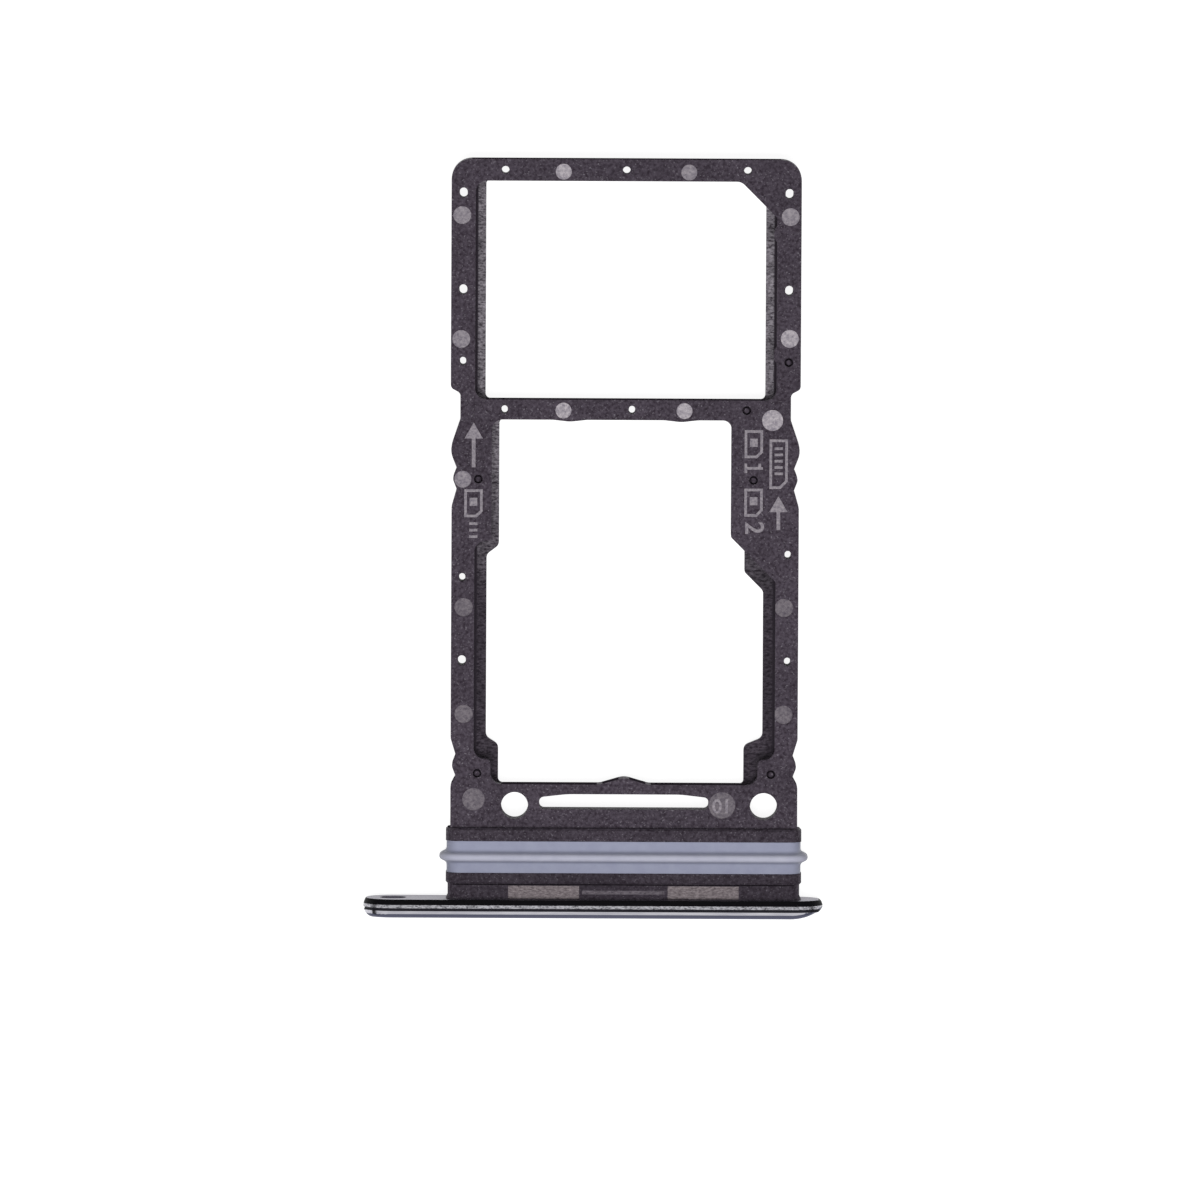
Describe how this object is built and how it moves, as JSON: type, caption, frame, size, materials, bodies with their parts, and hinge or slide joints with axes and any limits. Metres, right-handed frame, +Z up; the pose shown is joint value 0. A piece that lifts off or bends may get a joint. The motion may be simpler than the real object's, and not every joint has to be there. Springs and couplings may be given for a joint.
{
  "type": "sim card tray",
  "caption": "Phone card tray: moulded frame with stepped card bays and a leaf spring, a silicone lip seal in a groove, and a metal end cap with an eject-pin hole.",
  "frame": {"origin": "centre of the bounding box in X and Y, at the lowest level of the cap in Z", "axes": "+Y from the cap into the phone, +X to the right seen from above with the cap nearest, +Z up out of the card bays"},
  "size_m": [0.019, 0.0314, 0.0025],
  "materials": {
    "frame_plastic": "fine satin moulding",
    "seal_silicone": "soft matte silicone",
    "cap_metal": "bead-blasted, anodised blue-grey"
  },
  "bodies": {
    "root": {"tray_frame": "frame_plastic", "seal_ring": "seal_silicone", "end_cap": "cap_metal"}
  },
  "joints": []
}
